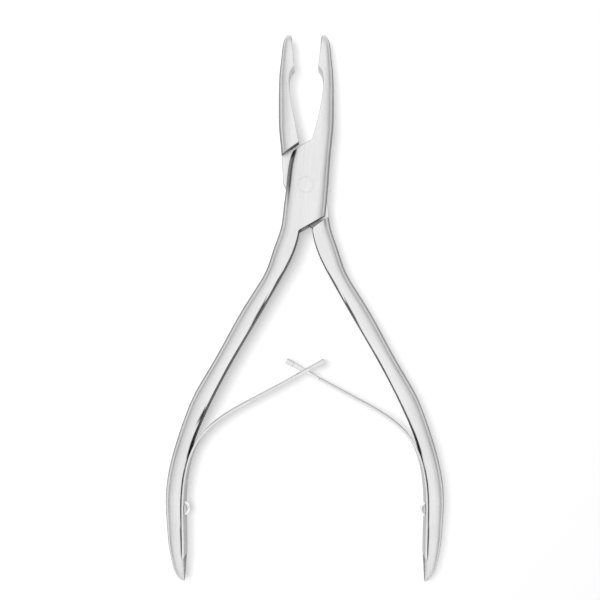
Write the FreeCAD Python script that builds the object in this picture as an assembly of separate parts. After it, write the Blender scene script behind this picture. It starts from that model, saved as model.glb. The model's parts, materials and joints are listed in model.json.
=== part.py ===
# Bone rongeur: two forged halves on a box joint, held open by two crossed leaf springs
import FreeCAD, Part
import math
import os

V = FreeCAD.Vector

# Sizes of the joint, in millimetres and degrees
THICK = 9.0
PLATE = 2.9
PLATE_GAP = 0.05
JOINT_WIDTH = 10.5
JOINT_LEAN = 6.0
PIN_RADIUS = 1.9
PIN_GAP = 0.03
BLADE_FLAT = 4.6
BLADE_FLAT_ANGLE = 30.0
BLADE_FLAT_LENGTH = 8.3
CROTCH_ASIDE = 1.5
SHOULDER_ASIDE = 0.25
WALL_GAP = 0.07
CLOSING = 11.3
OPENING = 3.2
PLATE_EDGE_REACH = 8.9
PLATE_EDGE_SLOPE = 30.0
SHOULDER_GAP = 0.7
SHOULDER_SLOPE = 35.0

# Sizes of the jaws
JAW_LENGTH = 38.0
JAW_OUTER = 6.9
JAW_CENTRE = 3.3
RIM_GAP = 0.03
HEEL = 29.5
HEEL_RELIEF = 4.25
CUP_LENGTH = 7.4
CUP_RADIUS = 1.75
CUP_END_WALL = 0.75

# Sizes of the handles
HANDLE_LENGTH = 98.7
HANDLE_SPREAD = 29.9
HANDLE_WIDTH = 4.1
HANDLE_ROOT = 11.25

# Sizes of the leaf springs
LEAF_THICK = 0.5
LEAF_WIDE = 6.0
LEAF_TIP_WIDE = 4.4
SEAT_DEPTH = 0.6
SEAT_FROM_END = 6.3
LEAF_ANGLE = 28.5
CROSS_FROM_END = 52.6
FOOT_LENGTH = 17.0
SEAT_LENGTH = 32.0
LEAF_STRAIGHT = 20.0
TAPER_FROM_END = 34.3
TAPER_BEFORE_CROSSING = 3.0
LEAF_PAST_CROSSING = 5.4
TONGUE = 2.2
TONGUE_GAP = 0.2
HEAD_LENGTH = 1.9
SLOT_BEFORE = 2.2
SLOT_AFTER = 4.0

# Sizes of the spring screws
SCREW_FROM_END = 18.1
SCREW_RADIUS = 1.0
SCREW_HOLE_GAP = 0.15
SCREW_DEPTH = 2.8
DOME_RADIUS = 1.75
DOME_HEIGHT = 1.25
DOME_GAP = 0.03
DRIVER_SLOT = 0.45
DRIVER_DEPTH = 0.5

MID = THICK / 2
SKIN_STRIPS = 9
CROSS_Y = CROSS_FROM_END - HANDLE_LENGTH
FAR = 2 * HANDLE_LENGTH

# Inner line of a handle: part of the way from its root to its end, part of the spread
INNER_LINE = [
    (0.0, 0.056),
    (0.084, 0.135),
    (0.141, 0.224),
    (0.199, 0.320),
    (0.313, 0.516),
    (0.427, 0.703),
    (0.542, 0.867),
    (0.621, 0.953),
    (0.694, 0.989),
    (0.787, 1.0),
    (0.878, 0.998),
    (1.0, 0.990),
    (1.113, 0.980),
]

# Handle sections: part of the way; width, then the crown's place as a part of that width;
# overhang as a part of the handle's width; depth as a part of half the thickness
HANDLE_SECTIONS = [
    (1.0, 0.24, 0.5, 0.03, 0.12),
    (0.986, 0.56, 0.5, 0.06, 0.30),
    (0.938, 0.86, 0.45, 0.10, 0.56),
    (0.878, 1.05, 0.38, 0.12, 0.70),
    (0.787, 1.16, 0.33, 0.14, 0.845),
    (0.672, 1.05, 0.26, 0.24, 0.935),
    (0.563, 1.0, 0.21, 0.34, 0.965),
    (0.427, 1.01, 0.18, 0.40, 0.975),
    (0.313, 1.01, 0.18, 0.40, 0.980),
    (0.199, 1.01, 0.18, 0.40, 0.985),
    (0.112, 1.06, 0.20, 0.40, 1.015),
]

# Joint sections, as parts of the joint's width: place across and along, tilt, left, right;
# then depth as a part of half the thickness, and squareness
JOINT_SECTIONS = [
    (-0.267, -1.43, 21.0, 0.448, 0.381, 1.025, 0.86),
    (-0.133, -1.09, 13.0, 0.472, 0.475, 1.03, 0.88),
    (-0.043, -0.67, 8.0, 0.5, 0.51, 1.03, 0.90),
    (0.033, 0.0, JOINT_LEAN, 0.5, 0.5, 1.03, 0.90),
    (0.114, 0.71, 5.0, 0.465, 0.465, 1.03, 0.90),
    (0.190, 1.24, 4.0, 0.286, 0.443, 1.01, 0.88),
]

# Jaw sections: part of the jaw's length, place across, tilt, left, right, depth, squareness
JAW_SECTIONS = [
    (0.46, 0.88, 2.0, 0.76, 1.11, 0.96, 0.86),
    (0.58, 1.0, 0.0, 0.61, 1.0, 0.86, 0.85),
    (0.71, 1.0, -3.0, 0.55, 0.97, 0.75, 0.85),
    (0.816, 1.03, -6.0, 0.52, 0.83, 0.65, 0.85),
    (0.905, 1.09, -8.0, 0.45, 0.68, 0.51, 0.80),
    (0.967, 1.20, -8.0, 0.33, 0.42, 0.33, 0.70),
    (1.0, 1.29, -8.0, 0.14, 0.12, 0.12, 0.60),
]


def point(x, y, z=0.0):
    return V(x, y, z)


def spline(points):
    curve = Part.BSplineCurve()
    curve.interpolate(points)
    return curve


def along_handle(part):
    return -HANDLE_ROOT - part * (HANDLE_LENGTH - HANDLE_ROOT)


def inner_points():
    return [point(-spread * HANDLE_SPREAD, along_handle(part)) for part, spread in INNER_LINE]


INNER = spline(inner_points())


def at_height(curve, y):
    low = curve.FirstParameter
    high = curve.LastParameter
    for step in range(60):
        middle = (low + high) / 2
        if curve.value(middle).y > y:
            low = middle
        else:
            high = middle
    return low


def inner_at(y):
    return INNER.value(at_height(INNER, y))


def in_chords(poles, count):
    # Short straight chords along a curve, which lofted become the narrow ground strips of the skin
    curve = Part.BezierCurve()
    curve.setPoles(poles)
    points = [curve.value(number / count) for number in range(count + 1)]
    return polyline(points)


def section(centre, tilt, left, right, depth, square, flank):
    side = V(math.cos(math.radians(tilt)), -math.sin(math.radians(tilt)), 0)
    up = V(0, 0, 1)
    middle = centre + up * MID
    corners = [(right, depth), (-left, depth), (-left, -depth), (right, -depth)]
    edges = []
    for number, (across, high) in enumerate(corners):
        edge = [side * across, side * across + up * (flank * high)]
        crown = [side * (square * across) + up * high, up * high]
        poles = edge + crown
        if number % 2:
            poles.reverse()
        edges += in_chords([middle + pole for pole in poles], SKIN_STRIPS)
    return Part.Wire(edges)


def handle_wires():
    wires = []
    for part, width, crown, overhang, depth in HANDLE_SECTIONS:
        wide = width * HANDLE_WIDTH
        height = at_height(INNER, along_handle(part))
        course = INNER.tangent(height)[0]
        centre = INNER.value(height) + V(course.y, -course.x, 0) * (crown * wide)
        tilt = math.degrees(math.atan2(-course.x, -course.y))
        outer = (1 - crown) * wide
        inner = crown * wide + overhang * HANDLE_WIDTH
        wires.append(section(centre, tilt, outer, inner, depth * MID, 0.86, 0.7))
    return wires


def joint_wires():
    wires = []
    for across, along, tilt, left, right, depth, square in JOINT_SECTIONS:
        centre = point(across, along) * JOINT_WIDTH
        wide = (left * JOINT_WIDTH, right * JOINT_WIDTH)
        wires.append(section(centre, tilt, *wide, depth * MID, square, square))
    return wires


def jaw_wires():
    outer = JAW_OUTER - JAW_CENTRE
    wires = []
    for part, across, tilt, left, right, depth, square in JAW_SECTIONS:
        centre = point(across * JAW_CENTRE, part * JAW_LENGTH)
        wide = (left * JAW_CENTRE, right * outer)
        wires.append(section(centre, tilt, *wide, depth * MID, square, 0.8 * square))
    return wires


def blank():
    body = Part.makeLoft(handle_wires() + joint_wires() + jaw_wires(), True, False)
    slab = Part.makeBox(2 * FAR, 2 * FAR, THICK, point(-FAR, -FAR, 0))
    return body.common(slab)


def mirrored(shape):
    return shape.mirror(V(0, 0, 0), V(1, 0, 0))


def prism(edges, low, high):
    face = Part.Face(Part.Wire(edges))
    solid = face.extrude(V(0, 0, high - low))
    solid.translate(V(0, 0, low))
    return solid


def polyline(points):
    return [Part.makeLine(a, b) for a, b in zip(points[:-1], points[1:])]


def polygon_prism(points, low, high):
    return prism(polyline(points + points[:1]), low, high)


def flip(points):
    return [point(-p.x, p.y) for p in points]


def jaw_inner_curve(start):
    lean = math.tan(math.radians(CLOSING / 2))
    gap = RIM_GAP / math.cos(math.radians(CLOSING / 2))
    heel = point(HEEL * lean + gap, HEEL)
    beyond = 1.08 * JAW_LENGTH
    tip = point(beyond * lean + gap, beyond)
    throat = spline([
        start,
        point(0.66 * HEEL_RELIEF, 0.54 * HEEL),
        point(0.85 * HEEL_RELIEF, 0.68 * HEEL),
        point(0.98 * HEEL_RELIEF, 0.817 * HEEL),
        point(HEEL_RELIEF, 0.888 * HEEL),
        point(0.91 * HEEL_RELIEF, 0.956 * HEEL),
        heel,
    ])
    return throat, heel, tip


def on_edge(x, reach, slope):
    # A straight edge whose distance from the pivot is reach
    angle = math.radians(slope)
    return point(x, (reach + x * math.sin(angle)) / math.cos(angle))


def flat_line(distance, angle, along):
    normal = V(math.cos(math.radians(angle)), math.sin(math.radians(angle)), 0)
    course = V(-normal.y, normal.x, 0)
    return normal * distance + course * along


def handle_gap_edges(start):
    # Inner line of the left handle, from its crotch down and beyond the end
    curve = INNER.toShape()
    first = INNER.value(INNER.FirstParameter)
    last = INNER.value(INNER.LastParameter)
    return [Part.makeLine(start, first), curve], last


def female_half():
    solid = blank()
    crotch = on_edge(CROTCH_ASIDE, PLATE_EDGE_REACH, PLATE_EDGE_SLOPE)
    throat, heel, tip = jaw_inner_curve(crotch)
    edges = [throat.toShape()]
    edges += polyline([
        heel,
        tip,
        point(-FAR, tip.y),
        on_edge(-FAR / 10, PLATE_EDGE_REACH, PLATE_EDGE_SLOPE) + V(-FAR / 10, 0, 0),
        on_edge(-FAR / 10, PLATE_EDGE_REACH, PLATE_EDGE_SLOPE),
        crotch,
    ])
    solid = solid.cut(prism(edges, -1, THICK + 1))
    lower = crotch * -1
    edges, last = handle_gap_edges(lower)
    far = on_edge(-FAR / 10, PLATE_EDGE_REACH, PLATE_EDGE_SLOPE) * -1
    edges += polyline([last, point(FAR, last.y), point(FAR, far.y), far, lower])
    solid = solid.cut(prism(edges, -1, THICK + 1))
    return finish_female(solid)


def slot_prism():
    wall = BLADE_FLAT + WALL_GAP
    closed = BLADE_FLAT_ANGLE - CLOSING - 0.25
    opened = BLADE_FLAT_ANGLE + OPENING
    half = math.radians((opened - closed) / 2)
    corner_angle = math.radians((opened + closed) / 2)
    corner = V(math.cos(corner_angle), math.sin(corner_angle), 0) * (wall / math.cos(half))
    above = flat_line(wall, closed, 2.1 * JOINT_WIDTH)
    below = flat_line(wall, opened, -2.1 * JOINT_WIDTH)
    outline = [above, corner, below, above * -1, corner * -1, below * -1]
    return polygon_prism(outline, PLATE, THICK - PLATE)


def finish_female(solid):
    solid = solid.cut(slot_prism())
    solid = solid.cut(Part.makeCylinder(PIN_RADIUS, THICK + 2, point(0, 0, -1)))
    solid = solid.cut(cup(1))
    solid = solid.cut(seat(left_leaf_curves()))
    return solid.cut(screw_hole(-1))


def male_half():
    solid = mirrored(blank())
    reach = PLATE_EDGE_REACH + SHOULDER_GAP
    start = on_edge(-CROTCH_ASIDE - SHOULDER_ASIDE, reach, SHOULDER_SLOPE)
    corner = flat_line(BLADE_FLAT, BLADE_FLAT_ANGLE, BLADE_FLAT_LENGTH)
    throat, heel, tip = jaw_inner_curve(flip([start])[0])
    far = flat_line(BLADE_FLAT, BLADE_FLAT_ANGLE, -FAR / 6)
    edges = [mirrored(throat.toShape())]
    outline = flip([heel, tip]) + [point(FAR, tip.y), point(FAR, far.y), far, corner, start]
    solid = solid.cut(prism(edges + polyline(outline), -1, THICK + 1))
    lower = start * -1
    edges, last = handle_gap_edges(flip([lower])[0])
    edges = [mirrored(edge) for edge in edges]
    outline = [flip([last])[0], point(-FAR, last.y), point(-FAR, -far.y), far * -1, corner * -1, lower]
    solid = solid.cut(prism(edges + polyline(outline), -1, THICK + 1))
    left = on_edge(-JOINT_WIDTH, reach, SHOULDER_SLOPE)
    right = on_edge(JOINT_WIDTH / 2, reach, SHOULDER_SLOPE)
    band = [left, right, left * -1, right * -1]
    solid = solid.cut(polygon_prism(band, -1, PLATE + PLATE_GAP))
    solid = solid.cut(polygon_prism(band, THICK - PLATE - PLATE_GAP, THICK + 1))
    solid = solid.cut(Part.makeCylinder(PIN_RADIUS + PIN_GAP, THICK + 2, point(0, 0, -1)))
    solid = solid.cut(cup(-1))
    solid = solid.cut(mirrored(seat(left_leaf_curves())))
    return solid.cut(screw_hole(1))


def cup(side):
    # A long round-ended hollow scooped into the inner face of the jaw, open towards the other jaw
    barrel = CUP_LENGTH - 2 * CUP_RADIUS
    centre_y = JAW_LENGTH - CUP_END_WALL - CUP_LENGTH / 2
    centre_x = side * centre_y * math.tan(math.radians(CLOSING / 2))
    hollow = Part.makeCylinder(CUP_RADIUS, barrel, point(0, -barrel / 2), V(0, 1, 0))
    for end in (-barrel / 2, barrel / 2):
        hollow = hollow.fuse(Part.makeSphere(CUP_RADIUS, point(0, end)))
    hollow.rotate(V(0, 0, 0), V(0, 0, 1), -side * CLOSING / 2)
    hollow.translate(V(centre_x, centre_y, MID))
    return hollow


def joint_pin():
    return Part.makeCylinder(PIN_RADIUS, THICK, point(0, 0, 0))


def leaf_middle():
    # Middle line of the left leaf, from the lower end of its foot to its free end
    end = -HANDLE_LENGTH
    foot = SEAT_DEPTH - LEAF_THICK / 2
    points = []
    for part in (0, 0.35, 0.7, 1):
        base = inner_at(end + SEAT_FROM_END + part * FOOT_LENGTH)
        points.append(base + V(-foot, 0, 0))
    for part, inward in ((1.2, -0.2), (1.435, 0.5), (1.64, 1.8), (1.81, 3.7)):
        base = inner_at(end + SEAT_FROM_END + part * FOOT_LENGTH)
        points.append(base + V(inward * LEAF_THICK, 0, 0))
    course = V(math.cos(math.radians(LEAF_ANGLE)), math.sin(math.radians(LEAF_ANGLE)), 0)
    crossing = point(0, CROSS_Y)
    for along in (-LEAF_STRAIGHT, -LEAF_STRAIGHT / 2, 0, LEAF_PAST_CROSSING):
        points.append(crossing + course * along)
    return spline(points)


def left_leaf_curves():
    middle = leaf_middle()
    outer = []
    inner = []
    count = 9
    for step in range(count + 1):
        reach = step / count
        where = middle.FirstParameter + reach * (middle.LastParameter - middle.FirstParameter)
        course = middle.tangent(where)[0]
        normal = V(-course.y, course.x, 0)
        outer.append(middle.value(where) + normal * (LEAF_THICK / 2))
        inner.append(middle.value(where) - normal * (LEAF_THICK / 2))
    return spline(outer), spline(inner)


def seat(curves):
    # Everything on the inner side of the leaf foot, from its lower end up
    outer = curves[0]
    where = at_seat_end(outer)
    low = outer.value(outer.FirstParameter)
    curve = outer.copy()
    curve.segment(outer.FirstParameter, where)
    high = outer.value(where)
    outline = polyline([high, point(0, high.y), point(0, low.y), low])
    return prism([curve.toShape()] + outline, -1, THICK + 1)


def at_seat_end(curve):
    low = curve.FirstParameter
    high = curve.LastParameter
    target = -HANDLE_LENGTH + SEAT_FROM_END + SEAT_LENGTH
    for step in range(60):
        middle = (low + high) / 2
        if curve.value(middle).y < target:
            low = middle
        else:
            high = middle
    return low


def leaf_blank():
    outer, inner = left_leaf_curves()
    start = Part.makeLine(inner.value(inner.FirstParameter), outer.value(outer.FirstParameter))
    stop = Part.makeLine(outer.value(outer.LastParameter), inner.value(inner.LastParameter))
    low = MID - LEAF_WIDE / 2
    solid = prism([start, outer.toShape(), stop, inner.toShape()], low, low + LEAF_WIDE)
    taper_start = -HANDLE_LENGTH + TAPER_FROM_END
    taper_end = CROSS_Y - TAPER_BEFORE_CROSSING
    above = CROSS_Y + 2 * LEAF_PAST_CROSSING
    for sign in (1, -1):
        wide = MID + sign * LEAF_WIDE / 2
        narrow = MID + sign * LEAF_TIP_WIDE / 2
        past = MID + sign * LEAF_WIDE
        outline = [(taper_start, wide), (taper_end, narrow), (above, narrow)]
        outline += [(above, past), (taper_start, past)]
        corners = [V(-FAR, y, z) for y, z in outline]
        face = Part.Face(Part.Wire(polyline(corners + corners[:1])))
        solid = solid.cut(face.extrude(V(2 * FAR, 0, 0)))
    hole = screw_cylinder(-1, SCREW_RADIUS + SCREW_HOLE_GAP, -3 * LEAF_THICK, 3 * LEAF_THICK)
    return solid.cut(hole)


def along_leaf(side, start, stop, low, high):
    # A box laid along the straight part of a leaf, measured from the crossing
    deep = 6 * LEAF_THICK
    box = Part.makeBox(stop - start, deep, high - low, point(start, -deep / 2, low))
    box.rotate(V(0, 0, 0), V(0, 0, 1), LEAF_ANGLE)
    box.translate(V(0, CROSS_Y, 0))
    return box if side < 0 else mirrored(box)


def left_leaf_spring():
    gap = TONGUE / 2 + TONGUE_GAP
    window = along_leaf(-1, -SLOT_BEFORE, SLOT_AFTER, MID - gap, MID + gap)
    return leaf_blank().cut(window)


def right_leaf_spring():
    solid = mirrored(leaf_blank())
    neck_end = LEAF_PAST_CROSSING - HEAD_LENGTH
    for sign in (1, -1):
        near = MID + sign * TONGUE / 2
        outside = MID + sign * LEAF_WIDE
        side = along_leaf(1, -SLOT_AFTER, neck_end, min(near, outside), max(near, outside))
        solid = solid.cut(side)
    return solid


def screw_place(side):
    curve = left_leaf_curves()[1]
    target = -HANDLE_LENGTH + SCREW_FROM_END
    low = curve.FirstParameter
    high = curve.LastParameter
    for step in range(60):
        middle = (low + high) / 2
        if curve.value(middle).y < target:
            low = middle
        else:
            high = middle
    place = curve.value(low) + V(0, 0, MID)
    course = curve.tangent(low)[0]
    inward = V(course.y, -course.x, 0)
    return place, inward


def screw_cylinder(side, radius, start, stop):
    # Along the screw, measured from the inner face of the leaf towards the other handle
    place, inward = screw_place(-1)
    solid = Part.makeCylinder(radius, stop - start, place + inward * start, inward)
    return solid if side < 0 else mirrored(solid)


def screw_hole(side):
    return screw_cylinder(side, SCREW_RADIUS, -SCREW_DEPTH - LEAF_THICK, LEAF_THICK)


def spring_screw(side):
    shank = screw_cylinder(side, SCREW_RADIUS, -SCREW_DEPTH - LEAF_THICK, DOME_HEIGHT / 6)
    place, inward = screw_place(-1)
    place = place + inward * DOME_GAP
    ball_radius = (DOME_RADIUS ** 2 + DOME_HEIGHT ** 2) / (2 * DOME_HEIGHT)
    ball = Part.makeSphere(ball_radius, place + inward * (DOME_HEIGHT - ball_radius))
    cap = Part.makeCylinder(2 * DOME_RADIUS, 2 * DOME_HEIGHT, place, inward)
    dome = ball.common(cap)
    slot = Part.makeBox(2 * DRIVER_DEPTH, 4 * DOME_RADIUS, DRIVER_SLOT)
    slot.translate(V(-DRIVER_DEPTH, -2 * DOME_RADIUS, -DRIVER_SLOT / 2))
    slot.rotate(V(0, 0, 0), V(1, 0, 0), 62)
    angle = math.degrees(math.atan2(inward.y, inward.x))
    slot.rotate(V(0, 0, 0), V(0, 0, 1), angle)
    slot.translate(place + inward * DOME_HEIGHT)
    dome = dome.cut(slot)
    if side > 0:
        dome = mirrored(dome)
    return dome.fuse(shank)


def write(name, shape):
    solids = shape.Solids
    if len(solids) != 1 or not shape.isValid():
        print("check", name, len(solids), shape.isValid())
    body = solids[0] if len(solids) == 1 else shape
    body.exportStep("parts/" + name + ".step")


os.makedirs("parts", exist_ok=True)
write("female_half", female_half())
write("male_half", male_half())
write("joint_pin", joint_pin())
write("left_leaf_spring", left_leaf_spring())
write("right_leaf_spring", right_leaf_spring())
write("left_spring_screw", spring_screw(-1))
write("right_spring_screw", spring_screw(1))
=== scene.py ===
# Bone rongeur: satin steel halves, crossed leaf springs and domed screws on a white floor
import bpy
import bmesh
import json
import math
from mathutils import Matrix, Vector

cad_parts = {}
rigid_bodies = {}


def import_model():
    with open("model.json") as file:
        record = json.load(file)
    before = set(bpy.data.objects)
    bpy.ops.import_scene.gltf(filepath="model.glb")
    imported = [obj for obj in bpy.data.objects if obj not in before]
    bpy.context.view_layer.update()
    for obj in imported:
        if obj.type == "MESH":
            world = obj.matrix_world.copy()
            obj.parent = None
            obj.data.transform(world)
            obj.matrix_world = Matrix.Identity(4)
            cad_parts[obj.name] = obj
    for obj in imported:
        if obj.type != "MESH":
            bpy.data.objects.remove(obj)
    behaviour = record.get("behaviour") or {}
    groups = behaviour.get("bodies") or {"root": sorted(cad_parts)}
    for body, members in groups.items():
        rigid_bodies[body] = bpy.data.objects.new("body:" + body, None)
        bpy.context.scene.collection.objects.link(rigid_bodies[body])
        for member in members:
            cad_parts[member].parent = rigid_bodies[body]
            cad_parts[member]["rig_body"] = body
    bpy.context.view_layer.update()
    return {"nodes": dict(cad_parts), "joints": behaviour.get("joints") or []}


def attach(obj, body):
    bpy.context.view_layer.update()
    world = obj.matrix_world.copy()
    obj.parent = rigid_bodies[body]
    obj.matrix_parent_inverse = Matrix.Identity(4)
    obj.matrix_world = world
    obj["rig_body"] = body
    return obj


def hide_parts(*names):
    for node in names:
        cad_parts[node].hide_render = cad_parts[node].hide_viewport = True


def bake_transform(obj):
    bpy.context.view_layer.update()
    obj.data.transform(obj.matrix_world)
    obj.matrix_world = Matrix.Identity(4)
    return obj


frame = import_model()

MM = 0.001

# Sides of the handle of each half
FEMALE_SIDE = -1
MALE_SIDE = 1

# Sizes read from the frame, in millimetres: the middle of the thickness, where the hinges lie, and the pin
JOINT_PLACE = {joint["child"]: Vector(joint["pos_m"]) / MM for joint in frame["joints"]}
MIDDLE_HEIGHT = JOINT_PLACE["male"].z
PIN_RADIUS = frame["nodes"]["joint_pin"].dimensions.x / 2 / MM

# Camera, in millimetres and degrees
CAMERA_RISE = 216.0
CAMERA_ASIDE = 4.0
AIM_X = -1.5
AIM_Y = -28.35
PICTURE_WIDE = 150.4
PICTURE_TURN = 0.2
SENSOR = 36.0
NEAREST = 10.0
FARTHEST = 10000.0

# Light: places and sizes in millimetres, power in watts
KEY_PLACE = (-105, 30, 500)
KEY_TARGET = (0, -30, 0)
KEY_SIZE = (210, 210)
KEY_POWER = 1.6

# Sky: its brightness by height from the horizon up, and by side from left to right
SKY_BY_HEIGHT = [(0.0, 0.5), (0.25, 0.65), (0.6, 0.98), (1.0, 0.98)]
SKY_BY_SIDE = [(0.0, 0.6), (0.3, 0.88), (0.45, 1.0), (0.7, 0.94), (1.0, 0.55)]
SKY_STRENGTH = 1.0
SKY_ON_FLOOR = 0.2

# Floor: its glow rises with distance from the pivot. Distances in metres, the drop in millimetres
FLOOR_SHADE = 0.85
FLOOR_GLOW = 0.45
FAR_GLOW = 0.86
NEAR_FLOOR = 0.2
FAR_FLOOR = 0.9
FLOOR_REACH = 30.0
FLOOR_DROP = 0.02

# Edges: roundings in millimetres, and the angle in degrees from which an edge counts as sharp
HALF_ROUNDING = 0.14
LEAF_ROUNDING = 0.06
SCREW_ROUNDING = 0.05
ROUNDING_STEPS = 2
SHARP_ANGLE = 32.0

# Corners nearer than this, in millimetres, are joined, and faces this near to flat become one
WELD = 0.002
FLAT_ANGLE = 0.6

# Joint pin, in millimetres: how much wider it is shown, which closes the gap around it in the blade,
# and how near to that radius an edge belongs to the rim of one of its holes
PIN_SPREAD = 0.03
SPREAD_RADIUS = PIN_RADIUS + PIN_SPREAD
PIN_RIM_MATCH = 0.06

# Left leaf spring: how far across and up from its hinge the cut stretch starts and ends, the lengths it
# is cut into there, and the slack of a cut
BEND_START = (-2.6, -10.7)
BEND_END = (4.9, 9.3)
BEND_PIECE = 1.2
CUT_SLACK = 0.0001

# Left leaf spring: its foot's lower end and its free end from the pivot, and its slope there in degrees.
# Mirrored, the places on the left leaf serve the right one too.
FOOT_END = (-30.3, -92.4)
LEAF_END = (4.6, -43.4)
LEAF_SLOPE = 28.5

# The leaves thicken near their free ends: distances from the end at which it starts and is full, and
# how many times as thick
LEFT_SWELL = (8.0, 4.0, 1.9)
RIGHT_SWELL = (2.4, 1.8, 2.2)

# The handle's end is thinned, and pinched towards a distance from the middle, between two heights
TIP_FROM = -91.0
TIP_TO = -99.0
TIP_THINNING = 0.5
TIP_INNER = 30.8
TIP_PINCH = 0.35

# Steels: tone and roughness (least, most), streaks (across, along) per millimetre, how much the
# streaks darken, and how deep they are in millimetres
SATIN = ((0.92, 0.98), (0.24, 0.36), (2.2, 0.07), 0.10, 0.004)
SPRING = ((0.86, 0.93), (0.18, 0.28), (3.0, 0.12), 0.08, 0.003)
BRIGHT = ((0.92, 0.98), (0.28, 0.36), (3.5, 0.5), 0.05, 0.002)

# Grinding marks on every steel: fine and broad streaks, and single hairs where the noise is high
NOISE_SPAN = (0.3, 0.7)
NOISE_ROUGHNESS = 0.5
FINE_DETAIL = 3.0
FINE_ROUGHNESS = 0.6
BROAD_STREAKS = (0.35, 0.05)
BROAD_DETAIL = 2.0
BROAD_GLOSS = (0.04, -0.03)
HAIR_STREAKS = (7.0, 0.22)
HAIR_DETAIL = 0.0
HAIR_SPAN = (0.66, 0.76)
HAIR_SHADE = 0.93
HAIR_DEPTH = 0.4
RELIEF_STRENGTH = 0.6
SCREW_SHORTENING = 4.0

# Painted shade and added roughness on the steel, standing in for shade and dark reflections: each pair is
# where it starts and where it is full.
# Facing and upright are 1 straight along an axis and 0 across it. Heights, widths and depths are in
# millimetres. A shade multiplies the tone, and rougher is added to the roughness.
SIDE_UPRIGHT = (0.75, 0.35)
SIDE_PAINTED_SHADE = 0.18
SIDE_ROUGHER = 0.1
BITING_FACING = (0.2, 0.4)
BITING_HEIGHT = (11.0, 13.0)
BITING_PAINTED_SHADE = 0.6
INNER_FACING = (0.15, 0.3)
INNER_UPRIGHT = (0.97, 0.93)
INNER_TOP = (-8.0, -11.0)
INNER_FOOT = (-94.0, -91.0)
INNER_PAINTED_SHADE = 0.08
INNER_ROUGHER = 0.15
ROOT_HEIGHT = (-60.0, -50.0)
ROOT_FACING = 0.07
ROOT_UPRIGHT = 0.018
SEAM_FACING = (-0.3, -0.42)
SEAM_UPRIGHT = (0.90, 0.84)
SEAM_FOOT = (-6.0, 0.0)
SEAM_TOP = (10.0, 9.0)
SEAM_PAINTED_SHADE = 0.2
LEDGE_TOP = (-8.0, -8.6)
LEDGE_FOOT = (-12.5, -11.8)
LEDGE_WIDTH = (5.2, 4.5)
LEDGE_DEPTH = (8.8, 8.6)
LEDGE_PAINTED_SHADOW = 0.4
LEAF_UPRIGHT = (0.3, 0.05)
LEAF_PAINTED_SHADE = 0.45
LEAF_ROUGH_UPRIGHT = (0.5, 0.2)
LEAF_ROUGHER = 0.12

# Middle line of one half from jaw tip to handle end: height from the pivot, distance to the handle's side
GRAIN_LINE = [
    (38, -4.0), (25, -5.4), (12, -5.0), (-11, -3.0), (-24, 1.9), (-34, 7.6),
    (-44, 13.4), (-54, 18.7), (-64, 23.4), (-74, 25.9), (-84, 26.4), (-99, 24.3),
]

def make_camera():
    # Looks straight down from a little to the right, with the picture shifted back over the object
    data = bpy.data.cameras.new("camera")
    data.sensor_width = SENSOR
    data.lens = SENSOR * CAMERA_RISE / PICTURE_WIDE
    data.shift_x = -CAMERA_ASIDE / PICTURE_WIDE
    data.clip_start = NEAREST * MM
    data.clip_end = FARTHEST * MM
    camera = bpy.data.objects.new("camera", data)
    bpy.context.scene.collection.objects.link(camera)
    place = Vector((AIM_X + CAMERA_ASIDE, AIM_Y, MIDDLE_HEIGHT + CAMERA_RISE)) * MM
    turn = math.radians(PICTURE_TURN)
    camera.location = Matrix.Rotation(turn, 3, "Z") @ place
    camera.rotation_euler = (0, 0, turn)
    bpy.context.scene.camera = camera


def put(tree, kind, inputs=None, **settings):
    # One shader node with its settings, and its inputs as plain values or links
    made = tree.nodes.new("ShaderNode" + kind)
    for name, value in settings.items():
        setattr(made, name, value)
    for name, value in (inputs or {}).items():
        if isinstance(value, bpy.types.NodeSocket):
            tree.links.new(value, made.inputs[name])
        else:
            made.inputs[name].default_value = value
    return made


def maths(tree, operation, first, second=0.0, clamp=False):
    # One arithmetic node on two values
    return put(tree, "Math", {0: first, 1: second}, operation=operation, use_clamp=clamp).outputs[0]


def spread(tree, value, low, high, out_low=0.0, out_high=1.0):
    # The value from low to high, carried over to the range out_low to out_high and held there
    inputs = {"Value": value, "From Min": low, "From Max": high, "To Min": out_low, "To Max": out_high}
    return put(tree, "MapRange", inputs, clamp=True).outputs["Result"]


def rise(tree, value, span):
    # Nothing at the span's first value, one at its second
    return spread(tree, value, span[0], span[1])


def rise_mm(tree, value, span):
    # The same for a place in metres and a span in millimetres
    return rise(tree, value, (span[0] * MM, span[1] * MM))


def product(tree, *factors):
    # All factors multiplied
    total = factors[0]
    for factor in factors[1:]:
        total = maths(tree, "MULTIPLY", total, factor)
    return total


def grey_ramp(tree, value, stops):
    # Greys at the stops, each a place and a shade
    made = put(tree, "ValToRGB", {"Fac": value})
    points = made.color_ramp.elements
    while len(points) < len(stops):
        points.new(0.5)
    for mark, (where, shade) in zip(points, stops):
        mark.position = where
        mark.color = (shade, shade, shade, 1)
    return made.outputs["Color"]


def seen_rays(tree):
    # One for what the camera, a reflection or a clear part looks at, nothing for light on the floor
    rays = put(tree, "LightPath").outputs
    seen = maths(tree, "ADD", rays["Is Camera Ray"], rays["Is Glossy Ray"], clamp=True)
    return maths(tree, "ADD", seen, rays["Is Transmission Ray"], clamp=True)


def make_key_lamp():
    # A soft lamp from the upper left that lays the shadow to the right and isn't mirrored in the steel
    data = bpy.data.lights.new("key_softbox", "AREA")
    data.shape = "RECTANGLE"
    data.size = KEY_SIZE[0] * MM
    data.size_y = KEY_SIZE[1] * MM
    data.energy = KEY_POWER
    lamp = bpy.data.objects.new("key_softbox", data)
    bpy.context.scene.collection.objects.link(lamp)
    lamp.location = Vector(KEY_PLACE) * MM
    aim = Vector(KEY_TARGET) * MM - lamp.location
    lamp.rotation_mode = "QUATERNION"
    lamp.rotation_quaternion = aim.to_track_quat("-Z", "Y")
    lamp.visible_glossy = False


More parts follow.
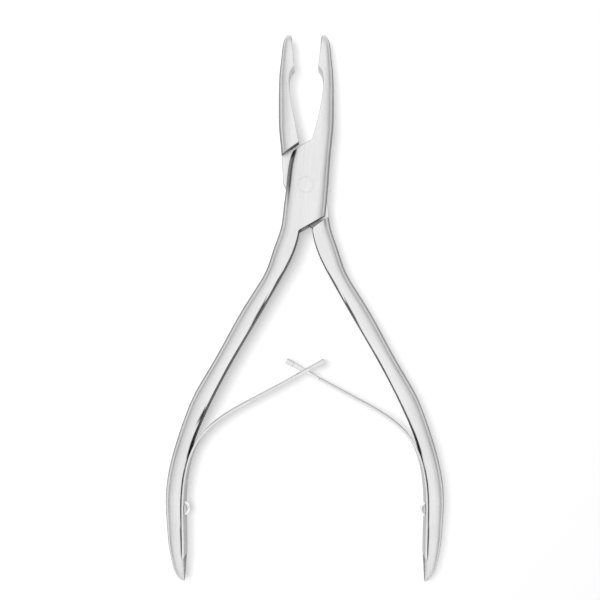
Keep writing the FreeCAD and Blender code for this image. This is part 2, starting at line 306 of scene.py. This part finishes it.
def make_sky():
    # Bright overhead, darker at the horizon and to both sides
    world = bpy.data.worlds.new("studio")
    world.use_nodes = True
    tree = world.node_tree
    direction = put(tree, "TexCoord").outputs["Generated"]
    parts = put(tree, "SeparateXYZ", {0: direction})
    by_height = grey_ramp(tree, parts.outputs["Z"], SKY_BY_HEIGHT)
    by_side = grey_ramp(tree, spread(tree, parts.outputs["X"], -1, 1), SKY_BY_SIDE)
    light = put(tree, "VectorMath", {0: by_height, 1: by_side}, operation="MULTIPLY").outputs[0]
    background = tree.nodes["Background"]
    strength = spread(tree, seen_rays(tree), 0, 1, SKY_ON_FLOOR * SKY_STRENGTH, SKY_STRENGTH)
    tree.links.new(strength, background.inputs["Strength"])
    tree.links.new(light, background.inputs["Color"])
    bpy.context.scene.world = world


def make_floor():
    # White paper that keeps the shadow and glows for the camera and for reflections
    mesh = bpy.data.meshes.new("floor")
    form = bmesh.new()
    bmesh.ops.create_grid(form, x_segments=1, y_segments=1, size=FLOOR_REACH)
    form.to_mesh(mesh)
    form.free()
    floor = bpy.data.objects.new("floor", mesh)
    bpy.context.scene.collection.objects.link(floor)
    floor.location.z = -FLOOR_DROP * MM
    material = bpy.data.materials.new("white_floor")
    material.use_nodes = True
    tree = material.node_tree
    tree.nodes.remove(tree.nodes["Principled BSDF"])
    paper = put(tree, "BsdfDiffuse", {"Color": (FLOOR_SHADE, FLOOR_SHADE, FLOOR_SHADE, 1)})
    place = put(tree, "TexCoord").outputs["Object"]
    distance = put(tree, "VectorMath", {0: place}, operation="LENGTH").outputs["Value"]
    glowing = spread(tree, distance, NEAR_FLOOR, FAR_FLOOR, FLOOR_GLOW, FAR_GLOW)
    glow = put(tree, "Emission", {"Strength": maths(tree, "MULTIPLY", seen_rays(tree), glowing)})
    total = put(tree, "AddShader", {0: paper.outputs[0], 1: glow.outputs[0]})
    tree.links.new(total.outputs[0], tree.nodes["Material Output"].inputs["Surface"])
    mesh.materials.append(material)


def streaks(tree, line, rate, detail, roughness=NOISE_ROUGHNESS):
    # Noise drawn out along the grain, with its rate per millimetre across and along
    across, along = rate
    at = put(tree, "VectorMath", {0: line, 1: (across, along, across)}, operation="MULTIPLY").outputs[0]
    inputs = {"Vector": at, "Scale": 1.0, "Detail": detail, "Roughness": roughness}
    return put(tree, "TexNoise", inputs).outputs[0]


def steel(name, tone, rough, rate, darkening, relief):
    # Ground steel up to its shade and roughness, which the caller may change before close_steel
    material = bpy.data.materials.new(name)
    material.use_nodes = True
    tree = material.node_tree
    shader = tree.nodes["Principled BSDF"]
    shader.inputs["Metallic"].default_value = 1.0
    line = put(tree, "Attribute", attribute_name="grain").outputs["Vector"]
    fine = streaks(tree, line, rate, FINE_DETAIL, FINE_ROUGHNESS)
    broad = streaks(tree, line, BROAD_STREAKS, BROAD_DETAIL)
    hair = rise(tree, streaks(tree, line, HAIR_STREAKS, HAIR_DETAIL), HAIR_SPAN)
    shade = spread(tree, broad, *NOISE_SPAN, *tone)
    streaked = spread(tree, fine, *NOISE_SPAN, 1 - darkening, 1)
    scratched = spread(tree, hair, 0, 1, 1, HAIR_SHADE)
    shade = product(tree, shade, streaked, scratched)
    gloss = spread(tree, fine, *NOISE_SPAN, *rough)
    gloss = maths(tree, "ADD", gloss, spread(tree, broad, *NOISE_SPAN, *BROAD_GLOSS))
    height = maths(tree, "SUBTRACT", fine, maths(tree, "MULTIPLY", hair, HAIR_DEPTH))
    inputs = {"Height": height, "Strength": RELIEF_STRENGTH, "Distance": relief * MM}
    tree.links.new(put(tree, "Bump", inputs).outputs[0], shader.inputs["Normal"])
    return material, tree, shader, shade, gloss


def close_steel(tree, shader, shade, gloss):
    # Shade and roughness go to the shader
    grey = put(tree, "CombineColor", {0: shade, 1: shade, 2: shade}).outputs[0]
    tree.links.new(grey, shader.inputs["Base Color"])
    tree.links.new(gloss, shader.inputs["Roughness"])


def biting_face(tree, side, facing, where):
    # The inner faces of the jaws, where the painted side shade is lighter than on the other sides
    closing = maths(tree, "MULTIPLY", facing["X"], side)
    return product(tree, rise(tree, closing, BITING_FACING), rise_mm(tree, where["Y"], BITING_HEIGHT))


def inner_wall(tree, side, facing, where, upright):
    # The wall between the handles, which gets dark painted shade for the dark it reflects and more
    # roughness, and reaches further over the skin near the joint
    root = rise_mm(tree, where["Y"], ROOT_HEIGHT)
    inward = maths(tree, "MULTIPLY", facing["X"], -side)
    inward = maths(tree, "ADD", inward, maths(tree, "MULTIPLY", root, ROOT_FACING))
    tilted = maths(tree, "SUBTRACT", upright, maths(tree, "MULTIPLY", root, ROOT_UPRIGHT))
    span = product(tree, rise_mm(tree, where["Y"], INNER_TOP), rise_mm(tree, where["Y"], INNER_FOOT))
    return product(tree, rise(tree, inward, INNER_FACING), rise(tree, tilted, INNER_UPRIGHT), span)


def plate_seam(tree, facing, where, upright):
    # The left edge of the joint's outer plates, where they end over the blade, which gets a painted dark
    # line of shade
    edge = product(tree, rise(tree, facing["X"], SEAM_FACING), rise(tree, upright, SEAM_UPRIGHT))
    span = product(tree, rise_mm(tree, where["Y"], SEAM_FOOT), rise_mm(tree, where["Y"], SEAM_TOP))
    return product(tree, edge, span)


def blade_ledge(tree, where):
    # The recessed face of the male half at the crotch of the joint, which gets a painted shadow of the
    # plate above it
    span = product(tree, rise_mm(tree, where["Y"], LEDGE_TOP), rise_mm(tree, where["Y"], LEDGE_FOOT))
    width = rise_mm(tree, where["X"], LEDGE_WIDTH)
    return product(tree, span, width, rise_mm(tree, where["Z"], LEDGE_DEPTH))


def half_steel(name, side):
    # Satin front and back; painted shade on the sides, lighter on the jaws' inner faces, with darker
    # painted shade on the wall between the handles and, on one half, the plates' left edge or the ledge
    # under the plate
    material, tree, shader, shade, gloss = steel(name, *SATIN)
    place = put(tree, "TexCoord").outputs
    facing = put(tree, "SeparateXYZ", {0: place["Normal"]}).outputs
    where = put(tree, "SeparateXYZ", {0: place["Object"]}).outputs
    upright = maths(tree, "ABSOLUTE", facing["Z"])
    # Painted shade on the sides, which stands in for the dark they reflect
    wall = rise(tree, upright, SIDE_UPRIGHT)
    biting = biting_face(tree, side, facing, where)
    inner = inner_wall(tree, side, facing, where, upright)
    # The painted side shade is lighter on the jaws' inner faces
    wall_shade = spread(tree, biting, 0, 1, SIDE_PAINTED_SHADE, BITING_PAINTED_SHADE)
    loss = maths(tree, "MULTIPLY", wall, maths(tree, "SUBTRACT", 1.0, wall_shade))
    painted_shade = maths(tree, "SUBTRACT", 1.0, loss)
    # Dark painted shade on the wall between the handles
    painted_shade = maths(tree, "MINIMUM", painted_shade, spread(tree, inner, 0, 1, 1, INNER_PAINTED_SHADE))
    if side == FEMALE_SIDE:
        # Painted shade along the plate's left edge
        seam = plate_seam(tree, facing, where, upright)
        painted_shade = maths(tree, "MINIMUM", painted_shade, spread(tree, seam, 0, 1, 1, SEAM_PAINTED_SHADE))
    else:
        # Painted shadow of the plate on the ledge below it
        ledge = blade_ledge(tree, where)
        painted_shade = maths(tree, "MINIMUM", painted_shade, spread(tree, ledge, 0, 1, 1, LEDGE_PAINTED_SHADOW))
    shade = maths(tree, "MULTIPLY", shade, painted_shade)
    gloss = maths(tree, "ADD", gloss, maths(tree, "MULTIPLY", wall, SIDE_ROUGHER))
    gloss = maths(tree, "ADD", gloss, maths(tree, "MULTIPLY", inner, INNER_ROUGHER))
    close_steel(tree, shader, shade, gloss)
    return material


def spring_steel():
    # Bright ground edges, and broad faces darkened with painted shade for the dark they reflect, and made
    # rougher
    material, tree, shader, shade, gloss = steel("ground_spring", *SPRING)
    normal = put(tree, "TexCoord").outputs["Normal"]
    upright = maths(tree, "ABSOLUTE", put(tree, "SeparateXYZ", {0: normal}).outputs["Z"])
    # Painted shade on the leaves' broad faces
    shade = maths(tree, "MULTIPLY", shade, spread(tree, upright, *LEAF_UPRIGHT, 1, LEAF_PAINTED_SHADE))
    gloss = maths(tree, "ADD", gloss, spread(tree, upright, *LEAF_ROUGH_UPRIGHT, 0, LEAF_ROUGHER))
    close_steel(tree, shader, shade, gloss)
    return material


def screw_steel():
    # Bright turned steel
    material, tree, shader, shade, gloss = steel("bright_screw", *BRIGHT)
    close_steel(tree, shader, shade, gloss)
    return material


def weld(node):
    # The CAD node's mesh with its corners joined and its flat faces made whole
    form = bmesh.new()
    form.from_mesh(frame["nodes"][node].data)
    bmesh.ops.remove_doubles(form, verts=form.verts, dist=WELD * MM)
    flat = math.radians(FLAT_ANGLE)
    bmesh.ops.dissolve_limit(form, angle_limit=flat, verts=form.verts, edges=form.edges)
    return form


def on_pin_rim(edge):
    # Both ends lie on the rim of a hole for the pin, which stays sharp
    radii = [vertex.co.xy.length for vertex in edge.verts]
    return all(abs(radius - SPREAD_RADIUS * MM) < PIN_RIM_MATCH * MM for radius in radii)


def finish_piece(form, node, grain):
    # The dressed piece with smooth shading, its sharp edges marked, and its grain at every corner
    sharp = math.radians(SHARP_ANGLE)
    weight = form.edges.layers.float.new("bevel_weight_edge")
    for face in form.faces:
        face.smooth = True
    for edge in form.edges:
        crisp = len(edge.link_faces) == 2 and edge.calc_face_angle() > sharp
        edge.smooth = not crisp
        edge[weight] = float(crisp and not on_pin_rim(edge))
    mesh = bpy.data.meshes.new(node + "_dressed")
    form.to_mesh(mesh)
    form.free()
    line = mesh.attributes.new("grain", "FLOAT_VECTOR", "POINT")
    for vertex, mark in zip(mesh.vertices, line.data):
        mark.vector = grain(vertex.co / MM)
    piece = bpy.data.objects.new(node + "_dressed", mesh)
    bpy.context.scene.collection.objects.link(piece)
    return piece


def round_edges(piece, rounding):
    # Rounds the marked edges by this many millimetres
    bevel = piece.modifiers.new("rounding", "BEVEL")
    bevel.limit_method = "WEIGHT"
    bevel.width = rounding * MM
    bevel.segments = ROUNDING_STEPS
    bevel.use_clamp_overlap = False
    bevel.miter_outer = "MITER_ARC"
    bevel.harden_normals = True


def half_grain(side):
    # Across and along the half: its middle line is taken straight between the points of GRAIN_LINE
    def grain(point):
        rows = zip(GRAIN_LINE, GRAIN_LINE[1:])
        high, low = next((pair for pair in rows if point.y >= pair[1][0]), GRAIN_LINE[-2:])
        part = (high[0] - point.y) / (high[0] - low[0])
        middle = high[1] + part * (low[1] - high[1])
        return (point.x * side - middle, point.y, point.z)
    return grain


def leaf_grain(side):
    # Across the leaf's width, and along it from its foot
    def grain(point):
        run = math.hypot(point.x * side + FOOT_END[0], point.y - FOOT_END[1])
        return (point.z, run, 0.0)
    return grain


def screw_grain(point):
    # The marks on a screw are only a little longer than wide
    return (point.z, point.y * SCREW_SHORTENING, point.x)


def ride(piece, node, material):
    # The piece moves with the CAD node's body and stands in its place
    piece.data.materials.clear()
    piece.data.materials.append(material)
    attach(piece, frame["nodes"][node]["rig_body"])
    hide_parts(node)


def make_half(node, side, material):
    # The handle's end is thinned from the spring's foot down, and narrowed on its inner side
    form = weld(node)
    for vertex in form.verts:
        part = (TIP_FROM - vertex.co.y / MM) / (TIP_FROM - TIP_TO)
        part = min(max(part, 0), 1)
        height = vertex.co.z - MIDDLE_HEIGHT * MM
        vertex.co.z -= height * TIP_THINNING * part * part
        aside = TIP_INNER - abs(vertex.co.x / MM)
        if aside > 0:
            vertex.co.x += side * aside * TIP_PINCH * part * MM
    piece = finish_piece(form, node, half_grain(side))
    round_edges(piece, HALF_ROUNDING)
    ride(piece, node, material)


def make_pin(material):
    # The pin is a little wider than in the source, so that no gap shows around it
    form = weld("joint_pin")
    for vertex in form.verts:
        vertex.co.xy *= SPREAD_RADIUS / PIN_RADIUS
    piece = finish_piece(form, "joint_pin", half_grain(FEMALE_SIDE))
    ride(piece, "joint_pin", material)


def make_screw(node, material):
    # A domed screw as the source has it, with its edges rounded
    piece = finish_piece(weld(node), node, screw_grain)
    round_edges(piece, SCREW_ROUNDING)
    ride(piece, node, material)


def swell(form, side, reach, full, times):
    # The leaf grows thicker about its middle between two distances from its end
    slope = math.radians(LEAF_SLOPE)
    ahead = Vector((-side * math.cos(slope), math.sin(slope)))
    aside = Vector((-ahead.y, ahead.x))
    end = Vector((-side * LEAF_END[0], LEAF_END[1])) * MM
    near = [v for v in form.verts if (end - v.co.xy).dot(ahead) < reach * MM]
    offsets = [(v.co.xy - end).dot(aside) for v in near]
    middle = (min(offsets) + max(offsets)) / 2
    for vertex, offset in zip(near, offsets):
        part = (reach * MM - (end - vertex.co.xy).dot(ahead)) / ((reach - full) * MM)
        part = min(max(part, 0), 1)
        vertex.co.xy += aside * (offset - middle) * (times - 1) * part


def make_leaf(node, side, swelling, material):
    # Cut across into short lengths where the leaf leaves the handle
    form = weld(node)
    swell(form, side, *swelling)
    hinge = JOINT_PLACE[frame["nodes"][node]["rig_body"]]
    start = hinge + Vector((-side * BEND_START[0], BEND_START[1], 0))
    end = hinge + Vector((-side * BEND_END[0], BEND_END[1], 0))
    run = end - start
    pieces = math.ceil(run.length / BEND_PIECE)
    for step in range(pieces + 1):
        cut = (start + run * step / pieces) * MM
        everything = form.verts[:] + form.edges[:] + form.faces[:]
        bmesh.ops.bisect_plane(form, geom=everything, plane_co=cut, plane_no=run, dist=CUT_SLACK * MM)
    piece = finish_piece(form, node, leaf_grain(side))
    round_edges(piece, LEAF_ROUNDING)
    piece.data.materials.append(material)
    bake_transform(piece)
    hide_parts(node)


def main():
    make_camera()
    make_key_lamp()
    make_sky()
    make_floor()
    female = half_steel("satin_female", FEMALE_SIDE)
    male = half_steel("satin_male", MALE_SIDE)
    spring = spring_steel()
    bright = screw_steel()
    make_half("female_half", FEMALE_SIDE, female)
    make_half("male_half", MALE_SIDE, male)
    make_pin(female)
    make_leaf("left_leaf_spring", FEMALE_SIDE, LEFT_SWELL, spring)
    make_leaf("right_leaf_spring", MALE_SIDE, RIGHT_SWELL, spring)
    make_screw("left_spring_screw", bright)
    make_screw("right_spring_screw", bright)
    bpy.context.scene.view_settings.view_transform = "Standard"


main()
